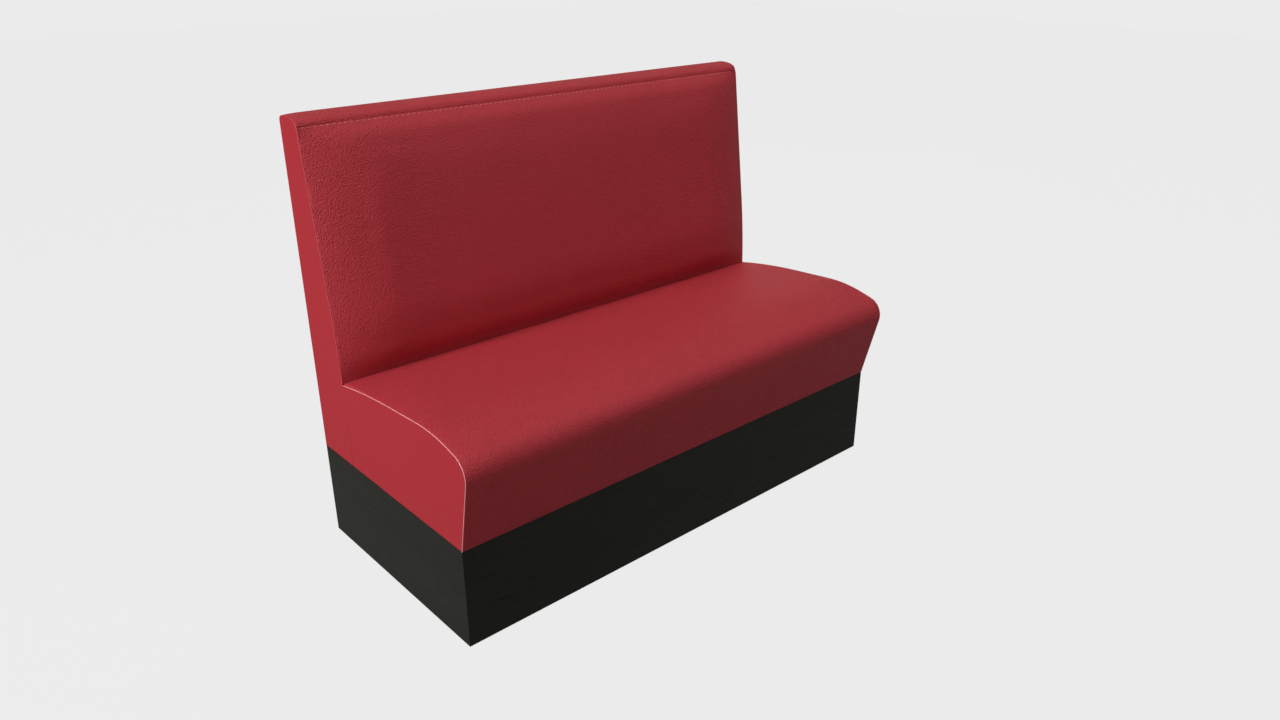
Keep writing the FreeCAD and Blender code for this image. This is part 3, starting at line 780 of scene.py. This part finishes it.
class Shader(Nodes):
    """One material on Blender's own Principled shader, painted in the piece's space."""

    def __init__(self, name):
        self.material = bpy.data.materials.new(name)
        self.material.use_nodes = True
        super().__init__(self.material.node_tree)
        self.surface = self.tree.nodes["Principled BSDF"]
        self.place = self.node("ShaderNodeTexCoord").outputs["Object"]

    def stretched(self, scale):
        inputs = {"Vector": self.place, "Scale": scale}
        return self.node("ShaderNodeMapping", inputs).outputs["Vector"]

    def noise(self, scale, detail=2.0, roughness=0.5, vector=None):
        inputs = {"Scale": scale, "Detail": detail, "Roughness": roughness}
        inputs["Vector"] = self.place if vector is None else vector
        return self.node("ShaderNodeTexNoise", inputs).outputs["Fac"]

    def streaks(self, scale, detail=2.0, roughness=0.5):
        """Noise with a scale for each axis, so that it is drawn out along one of them."""
        return self.noise(1.0, detail, roughness, self.stretched(scale))

    def cells(self, scale):
        inputs = {"Scale": scale, "Smoothness": 0.4, "Vector": self.place}
        made = self.node("ShaderNodeTexVoronoi", inputs, feature="SMOOTH_F1")
        return made.outputs["Distance"]

    def waves(self, axis, length):
        """A sine wave of the given length in metres along an axis."""
        split = self.node("ShaderNodeSeparateXYZ", {0: self.place})
        turn = self.maths("MULTIPLY", split.outputs[axis], 2 * math.pi / length)
        return self.maths("SINE", turn)

    def summed(self, first, first_share, second, second_share):
        first = self.maths("MULTIPLY", first, first_share)
        return self.maths("ADD", first, self.maths("MULTIPLY", second, second_share))

    def ranged(self, value, low, high, given=(0.0, 1.0)):
        """The value with its given span laid onto low to high."""
        inputs = {"From Min": given[0], "From Max": given[1], "To Min": low, "To Max": high}
        inputs["Value"] = value
        return self.node("ShaderNodeMapRange", inputs).outputs["Result"]

    def colours(self, factor, first, second):
        inputs = {"Factor": factor}
        for socket, colour in ((6, first), (7, second)):
            inputs[socket] = (*colour, 1.0) if isinstance(colour, tuple) else colour
        return self.node("ShaderNodeMix", inputs, data_type="RGBA").outputs[2]

    def bump(self, height, strength, distance, before=None):
        inputs = {"Strength": strength, "Distance": distance, "Height": height}
        if before is not None:
            inputs["Normal"] = before
        return self.node("ShaderNodeBump", inputs).outputs["Normal"]

    def finish(self, colour, roughness, normal):
        self.feed(self.surface.inputs["Base Color"], colour)
        self.feed(self.surface.inputs["Roughness"], roughness)
        self.feed(self.surface.inputs["Normal"], normal)
        return self.material


def vinyl_material(name, light, dark, specular, gloss, grain, drawn_out=0.0):
    """Vinyl with a fine pebble grain, softly mottled, and where stretched flat with streaks."""
    shader = Shader(name)
    shader.surface.inputs["Specular IOR Level"].default_value = specular
    pebble = shader.cells(310.0)
    tone = shader.summed(shader.noise(9.0, 3.0, 0.6), 0.4, pebble, 0.9)
    if drawn_out:
        streak = shader.maths("SUBTRACT", shader.streaks((8.0, 8.0, 260.0), 3.0, 0.6), 0.5)
        tone = shader.maths("ADD", tone, shader.maths("MULTIPLY", streak, drawn_out))
    colour = shader.colours(shader.ranged(tone, 0.0, 1.0, (0.35, 0.95)), light, dark)
    crease = shader.noise(900.0, 2.0, 0.55)
    height = shader.maths("ADD", pebble, shader.maths("MULTIPLY", crease, 0.35))
    roughness = shader.ranged(height, gloss, gloss + 0.14, (0.1, 0.9))
    slack = shader.bump(shader.noise(14.0), strength=0.06, distance=0.004)
    normal = shader.bump(height, strength=0.85, distance=grain, before=slack)
    return shader.finish(colour, roughness, normal)


def along_grain(axis, across, along):
    """A scale for each axis, with its own value along the grain."""
    scale = [across] * 3
    scale["XYZ".index(axis)] = along
    return tuple(scale)


def wood_material(name, grain, light, dark, pores, gloss):
    """Boards with a straight grain that runs along X, Y or Z."""
    shader = Shader(name)
    shader.surface.inputs["Specular IOR Level"].default_value = 0.12
    broad = shader.streaks(along_grain(grain, 12.0, 0.8), 3.0, 0.6)
    streak = shader.streaks(along_grain(grain, 90.0, 2.2), 5.0, 0.65)
    pore = shader.streaks(along_grain(grain, 520.0, 14.0))
    tone = shader.summed(broad, 0.45, streak, 0.55)
    base = shader.colours(shader.ranged(tone, 0.0, 1.0, (0.35, 0.65)), dark, light)
    colour = shader.colours(shader.ranged(pore, 0.0, 1.0, (0.56, 0.68)), base, pores)
    roughness = shader.ranged(streak, gloss, gloss + 0.15, (0.3, 0.7))
    height = shader.summed(streak, 0.6, pore, 0.6)
    return shader.finish(colour, roughness, shader.bump(height, strength=0.35, distance=0.0006))


def plywood_material(name, layers):
    """Birch ply whose glued layers show as bands across the thickness axis."""
    shader = Shader(name)
    wave = shader.waves(layers, 0.003)
    grain = shader.streaks(along_grain("Y" if layers == "X" else "X", 60.0, 4.0), 4.0, 0.6)
    shade = shader.ranged(grain, 0.0, 1.0, (0.3, 0.7))
    face = shader.colours(shade, (0.50, 0.34, 0.18), (0.66, 0.49, 0.29))
    glue = shader.ranged(wave, 0.0, 0.55, (0.2, 0.9))
    colour = shader.colours(glue, face, (0.30, 0.18, 0.09))
    normal = shader.bump(grain, strength=0.25, distance=0.0005)
    return shader.finish(colour, shader.ranged(grain, 0.6, 0.8), normal)


def webbing_material(name, along):
    """Woven strap with close warp ribs."""
    shader = Shader(name)
    cross = "X" if along == "Y" else "Y"
    weave = shader.maths("MULTIPLY", shader.waves(cross, 0.0016), shader.waves(along, 0.0022))
    fuzz = shader.noise(700.0, 2.0, 0.6)
    height = shader.maths("ADD", weave, fuzz)
    shade = shader.ranged(height, 0.0, 1.0, (-0.6, 1.6))
    colour = shader.colours(shade, (0.015, 0.015, 0.017), (0.06, 0.06, 0.065))
    normal = shader.bump(height, strength=0.5, distance=0.0004)
    return shader.finish(colour, shader.ranged(fuzz, 0.7, 0.9), normal)


def steel_material(name):
    """Zinc-plated steel, dull with faint turning marks."""
    shader = Shader(name)
    shader.surface.inputs["Metallic"].default_value = 1.0
    marks = shader.streaks((60.0, 60.0, 1400.0))
    blotch = shader.noise(120.0, 3.0, 0.6)
    colour = shader.colours(blotch, (0.46, 0.47, 0.50), (0.60, 0.61, 0.62))
    normal = shader.bump(marks, strength=0.2, distance=0.0002)
    return shader.finish(colour, shader.ranged(marks, 0.28, 0.45), normal)


def plastic_material(name):
    """Moulded black nylon with a fine spark texture."""
    shader = Shader(name)
    spark = shader.noise(1500.0, 2.0, 0.6)
    colour = shader.colours(spark, (0.018, 0.018, 0.018), (0.03, 0.03, 0.03))
    normal = shader.bump(spark, strength=0.3, distance=0.0002)
    return shader.finish(colour, shader.ranged(spark, 0.5, 0.65), normal)


def thread_material(name):
    """Twisted sewing thread."""
    shader = Shader(name)
    twist = shader.streaks((2600.0, 900.0, 900.0))
    colour = shader.colours(twist, (0.70, 0.25, 0.26), (0.82, 0.36, 0.37))
    normal = shader.bump(twist, strength=0.5, distance=0.0002)
    return shader.finish(colour, shader.ranged(twist, 0.5, 0.7), normal)


def foam_material(name):
    """Open-cell foam, seen from under the seat."""
    shader = Shader(name)
    cell = shader.cells(900.0)
    colour = shader.colours(shader.noise(20.0), (0.62, 0.55, 0.36), (0.74, 0.68, 0.50))
    normal = shader.bump(cell, strength=0.5, distance=0.0006)
    return shader.finish(colour, shader.ranged(cell, 0.85, 0.95), normal)


red_vinyl = vinyl_material(
    "red_vinyl",
    light=(0.515, 0.0350, 0.0500),
    dark=(0.440, 0.0290, 0.0420),
    specular=0.31,
    gloss=0.49,
    grain=0.0021,
)
# The flat covers' vinyl is streaked where stretched, and painted darker than the pads': painted
# shade that holds down the brightly lit sides
side_vinyl = vinyl_material(
    "side_vinyl",
    light=(0.452, 0.0248, 0.0366),
    dark=(0.420, 0.0224, 0.0333),
    specular=0.20,
    gloss=0.52,
    grain=0.0004,
    drawn_out=0.5,
)
# The seat's welts are painted pale pink: a painted highlight for the light caught along the
# seat's edge seams
welt_vinyl_painted_highlight = vinyl_material(
    "welt_vinyl_painted_highlight",
    light=(0.95, 0.35, 0.37),
    dark=(0.91, 0.30, 0.32),
    specular=0.8,
    gloss=0.20,
    grain=0.0003,
)
# The back's welts are painted a lighter, pinker red than the pads: a faint painted highlight
# along the back's edge seams
seam_vinyl_painted_highlight = vinyl_material(
    "seam_vinyl_painted_highlight",
    light=(0.60, 0.075, 0.09),
    dark=(0.56, 0.065, 0.08),
    specular=0.4,
    gloss=0.40,
    grain=0.0003,
)
ash = {
    axis: wood_material(
        f"stained_ash_{axis.lower()}",
        axis,
        light=(0.020, 0.0195, 0.0155),
        dark=(0.012, 0.0118, 0.0092),
        pores=(0.006, 0.006, 0.005),
        gloss=0.5,
    )
    for axis in "XY"
}
ply = {axis: plywood_material(f"plywood_{axis.lower()}", axis) for axis in "XYZ"}
foam = foam_material("seat_foam_block")

# The covers that are stretched flat, at the sides and the rear, have side in their names, and
# get the streaked vinyl that is painted darker with shade
for pad in upholstery:
    pad.data.materials.append(side_vinyl if "side" in pad.name else red_vinyl)
# The seat's welts take the pale pink of their painted highlight, the back's the lighter red of
# a fainter painted highlight
for welt in pipings:
    welt.data.materials.append(welt_vinyl_painted_highlight if welt.name.startswith("seat") else seam_vinyl_painted_highlight)
stitches.data.materials.append(thread_material("seam_thread"))
long_straps.data.materials.append(webbing_material("webbing_y", "Y"))
cross_straps.data.materials.append(webbing_material("webbing_x", "X"))

# The foam shows on the underside of the seat pad
seat_pad.data.materials.append(foam)
for face in seat_pad.data.polygons:
    heights = [seat_pad.data.vertices[k].co.z * 1000 - DECK_Z for k in face.vertices]
    if max(heights) < FOAM_LOW + 0.5 and min(heights) > FOAM_LOW - 0.5:
        face.material_index = 1

steel = steel_material("zinc_steel")
nylon = plastic_material("black_nylon")


def cad_material(name):
    """The material of a node of the CAD: stained boards outside, and plain ply inside."""
    if name.startswith("plinth") and name.endswith("panel"):
        return ash["X"] if "front" in name or "rear" in name else ash["Y"]
    if name.startswith("foot_pad"):
        return nylon
    if name.startswith(("foot_", "joining")):
        return steel
    low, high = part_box(name)
    size = high - low
    return ply["XYZ"[min(range(3), key=lambda axis: size[axis])]]


for name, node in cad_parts.items():
    if node.hide_render:
        continue
    material = cad_material(name)
    if not node.material_slots:
        node.data.materials.append(material)
    for slot in node.material_slots:
        slot.material = material

for piece in [*upholstery, *pipings, stitches, long_straps, cross_straps]:
    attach(piece, "bench")


# Stage, light and camera


def seen_plainly(nodes, path):
    """1 for what the camera sees, straight or through glass."""
    return nodes.maths("MAXIMUM", path["Is Camera Ray"], path["Is Transmission Ray"])


def floor_material():
    """Pale where it is seen, plain grey where it throws light back, and clear from below."""
    material = bpy.data.materials.new("floor")
    material.use_nodes = True
    material.node_tree.nodes.clear()
    nodes = Nodes(material.node_tree)
    path = nodes.node("ShaderNodeLightPath").outputs
    matte = nodes.node("ShaderNodeBsdfDiffuse", {"Color": FLOOR_MATTE}).outputs[0]
    glow = nodes.node("ShaderNodeEmission", {"Color": FLOOR_GLOW}).outputs[0]
    clear = nodes.node("ShaderNodeBsdfTransparent").outputs[0]
    mirrored = nodes.maths("MULTIPLY", path["Is Glossy Ray"], FLOOR_MIRROR_SHARE)
    seen = nodes.maths("MAXIMUM", seen_plainly(nodes, path), mirrored)
    surface = nodes.mixed(nodes.maths("MULTIPLY", seen, FLOOR_GLOW_SHARE), matte, glow)
    below = nodes.node("ShaderNodeNewGeometry").outputs["Backfacing"]
    nodes.node("ShaderNodeOutputMaterial", {"Surface": nodes.mixed(below, surface, clear)})
    return material


def studio_world():
    """Pale where it is seen, dimmer in gloss, and nearly black as a light."""
    world = bpy.data.worlds.new("studio")
    world.use_nodes = True
    world.node_tree.nodes.clear()
    nodes = Nodes(world.node_tree)
    path = nodes.node("ShaderNodeLightPath").outputs
    dim, mirrored, pale = (
        nodes.node("ShaderNodeBackground", {"Color": colour}).outputs[0]
        for colour in (WORLD_DIM, WORLD_MIRRORED, WORLD_PALE)
    )
    unseen = nodes.mixed(path["Is Glossy Ray"], dim, mirrored)
    surface = nodes.mixed(seen_plainly(nodes, path), unseen, pale)
    nodes.node("ShaderNodeOutputWorld", {"Surface": surface})
    return world


def area_light(name, place, aim, size, power, spread=180):
    light = bpy.data.lights.new(name, "AREA")
    light.spread = math.radians(spread)
    light.shape = "RECTANGLE"
    light.size, light.size_y = size
    light.energy = power
    lamp = bpy.data.objects.new(name, light)
    lamp.location = place
    lamp.rotation_euler = (Vector(aim) - Vector(place)).to_track_quat("-Z", "Y").to_euler()
    scene.collection.objects.link(lamp)
    return lamp


floor_mesh = bpy.data.meshes.new("floor")
floor_corners = [
    (-FLOOR_REACH, -FLOOR_REACH, FLOOR_LEVEL),
    (FLOOR_REACH, -FLOOR_REACH, FLOOR_LEVEL),
    (FLOOR_REACH, FLOOR_REACH, FLOOR_LEVEL),
    (-FLOOR_REACH, FLOOR_REACH, FLOOR_LEVEL),
]
floor_mesh.from_pydata(floor_corners, [], [(0, 1, 2, 3)])
floor = bpy.data.objects.new("floor", floor_mesh)
scene.collection.objects.link(floor)
floor_mesh.materials.append(floor_material())
scene.world = studio_world()

area_light("left_light", (-4.0, 0.18, 1.2), (0, 0.1, 0.5), (1.0, 2.2), power=45, spread=120)
area_light("top_light", (0.0, -0.9, 6.0), (0, -0.3, 0.5), (5.2, 3.6), power=158)
area_light("high_front_light", (-1.2, -3.6, 4.4), (0, 0, 0.5), (3.2, 2.4), power=48)
area_light("front_light", (0.6, -4.4, 1.6), (0, 0, 0.5), (3.0, 2.4), power=15)

# A fill for the sides that face away from the camera, too plain to be seen mirrored
fill_light = area_light(
    "right_rear_light", (3.8, 2.8, 0.6), (0.2, 0.2, 0.5), (2.6, 1.0), power=23, spread=70
)
fill_light.visible_glossy = False

scene.view_settings.view_transform = "Standard"

camera_data = bpy.data.cameras.new("camera")
camera_data.sensor_width = 36.0
camera_data.lens = 27.806
camera_data.shift_x = -0.5 / PICTURE_WIDTH
camera_data.shift_y = 0.5 / PICTURE_WIDTH
camera = bpy.data.objects.new("camera", camera_data)
camera.location = CAMERA_PLACE
camera.rotation_euler = (math.radians(90 - CAMERA_DOWN), 0, math.radians(-CAMERA_TURN))
scene.collection.objects.link(camera)
scene.camera = camera
